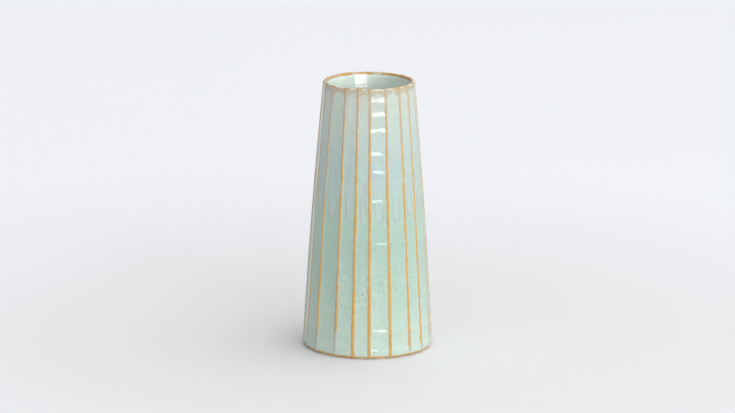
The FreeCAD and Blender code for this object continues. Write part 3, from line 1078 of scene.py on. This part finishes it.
CLAY_CLOUDS = Pattern(7 * MM, 0.35, 0.65, detail=4)
CLAY_GRAIN = (0.5 * MM, 3, 1, 5)
CLAY_GRAIN_SHADE = (0.45, 0.75, 0, 0.5)
CLAY_ROUGHNESS = (0.3, 0.7, 0.74, 0.92)
CLAY_SPECKS = (2.4 * MM, 0.5 * MM, 0.3)
CLAY_SPECK_SHARE = 0.7
TURNING_PITCH = 1.1 * MM
CLAY_GRAIN_HEIGHT = 0.08  # both heights are in millimetres
TURNING_HEIGHT = 0.02


def bare_clay():
    """Fired buff stoneware with sandy grain, iron specks and turning marks."""
    shader = Shader("bare_clay")
    grain = shader.noise(*CLAY_GRAIN)
    specks = shader.times(shader.specks(*CLAY_SPECKS), CLAY_SPECK_SHARE)
    colour = shader.layers(
        shader.mix(shader.pattern(CLAY_CLOUDS), CLAY_DARK, CLAY),
        (shader.step(grain, *CLAY_GRAIN_SHADE), CLAY_DARK),
        (specks, SPECK))
    marks = shader.math("SINE", shader.times(shader.from_axis(), TURN / TURNING_PITCH))
    relief = shader.plus(shader.times(grain, CLAY_GRAIN_HEIGHT),
                         shader.times(marks, TURNING_HEIGHT))
    return shader.finish(colour, shader.step(grain, *CLAY_ROUGHNESS), relief)


def build_vase():
    side = side_glaze()
    for flute in range(FLUTES):
        mint_panel(flute, side)
        ochre_rib(flute, side)
    milky_dip(dip_glaze())
    rim_band(rim_glaze())
    foot_line(foot_glaze())
    liner(liner_finish())
    clay = bare_clay()
    for name in ("stoneware_wall", "stoneware_floor", "foot_ring"):
        NODES[name].data.materials.clear()
        NODES[name].data.materials.append(clay)


# Studio.

CAMERA_TARGET = Vector((-0.55 * MM, 0, 104.5 * MM))
CAMERA_ELEVATION = math.radians(13.43)
CAMERA_DISTANCE = 3.0
CAMERA_ROLL = math.radians(0.355)
CAMERA_LENS = 198.4  # millimetres, on the usual sensor 36 mm wide
FLOOR_RADIUS = 30.0
FLOOR_SIDES = 96
FLOOR_NEAR = paint(220, 220, 222)
FLOOR_FAR = paint(230, 231, 235)
FLOOR_SHADING = (0.15, 0.60)  # metres from the axis at which the floor has the two colours
FLOOR_GRAIN = (3 * MM, 2)
FLOOR_GRAIN_HEIGHT = 0.01  # millimetres
FLOOR_ROUGHNESS = (0.3, 0.7, 0.80, 0.95)
FLOOR_SPECULAR = 0.25
# Brightness of the room at the two ends of each direction. The three are multiplied.
ROOM_LEFT_RIGHT = (0.23, 1.10)
ROOM_FRONT_BACK = (1.20, 0.95)
ROOM_LOW_HIGH = (0.74, 1.82)
ROOM_WHITE = (0.99, 1.0, 1.0, 1)
# The pale horizon fades out between these two, each the sine of an angle above or below it.
HORIZON_BAND = (0.03, 0.07)
HORIZON_STRENGTH = 0.84
SOFTBOX_AZIMUTH = math.radians(24)
SOFTBOX_DISTANCE = 3.2
SOFTBOX_SIZE = (2.10, 0.78)
SOFTBOX_MIDDLE = 0.64  # height of its middle
SOFTBOX_POWER = 41


def add_camera():
    camera = bpy.data.objects.new("Camera", bpy.data.cameras.new("Camera"))
    back = Vector((0, -math.cos(CAMERA_ELEVATION), math.sin(CAMERA_ELEVATION)))
    right = Vector((1, 0, 0))
    up = back.cross(right)
    turn = Matrix.Rotation(CAMERA_ROLL, 3, back)
    axes = Matrix((turn @ right, turn @ up, back)).transposed()
    camera.matrix_world = Matrix.Translation(CAMERA_TARGET + CAMERA_DISTANCE * back) @ axes.to_4x4()
    camera.data.lens = CAMERA_LENS
    bpy.context.scene.collection.objects.link(camera)
    bpy.context.scene.camera = camera


def add_floor():
    """A plain round floor that reaches past every horizon the camera sees."""
    angles = np.linspace(0, TURN, FLOOR_SIDES, endpoint=False)
    edge = turned_points(FLOOR_RADIUS, angles, 0)
    mesh = bpy.data.meshes.new("floor")
    mesh.from_pydata(edge.tolist(), [], [list(range(FLOOR_SIDES))])
    floor = bpy.data.objects.new("floor", mesh)
    shader = Shader("floor")
    shader.surface.inputs["Specular IOR Level"].default_value = FLOOR_SPECULAR
    grain = shader.noise(*FLOOR_GRAIN)
    colour = shader.mix(shader.step(shader.from_axis(), *FLOOR_SHADING), FLOOR_NEAR, FLOOR_FAR)
    roughness = shader.step(grain, *FLOOR_ROUGHNESS)
    relief = shader.times(grain, FLOOR_GRAIN_HEIGHT)
    mesh.materials.append(shader.finish(colour, roughness, relief))
    bpy.context.scene.collection.objects.link(floor)


def add_room():
    """Soft white surroundings, brighter overhead and to the right, with a pale horizon."""
    world = bpy.data.worlds.new("room")
    world.use_nodes = True
    room = NodeTree(world.node_tree, "Generated")
    walls = room.times(room.step(room.x, -1, 1, *ROOM_LEFT_RIGHT),
                       room.step(room.y, -1, 1, *ROOM_FRONT_BACK),
                       room.step(room.height, 0, 1, *ROOM_LOW_HIGH))
    horizon = room.step(room.math("ABSOLUTE", room.height), *HORIZON_BAND, HORIZON_STRENGTH, 0)
    background = room.nodes["Background"]
    background.inputs["Color"].default_value = ROOM_WHITE
    room.feed(background.inputs["Strength"], room.either(walls, horizon))
    bpy.context.scene.world = world


def add_softbox():
    """One broad low light in front and to the right."""
    light = bpy.data.lights.new("softbox", "AREA")
    light.shape = "RECTANGLE"
    light.size, light.size_y = SOFTBOX_SIZE
    light.energy = SOFTBOX_POWER
    lamp = bpy.data.objects.new("softbox", light)
    away = Vector((math.sin(SOFTBOX_AZIMUTH), -math.cos(SOFTBOX_AZIMUTH), 0))
    lamp.location = SOFTBOX_DISTANCE * away + Vector((0, 0, SOFTBOX_MIDDLE))
    lamp.rotation_euler = away.to_track_quat("Z", "Y").to_euler()
    bpy.context.scene.collection.objects.link(lamp)


build_vase()
add_camera()
add_floor()
add_room()
add_softbox()
bpy.context.scene.view_settings.view_transform = "Standard"
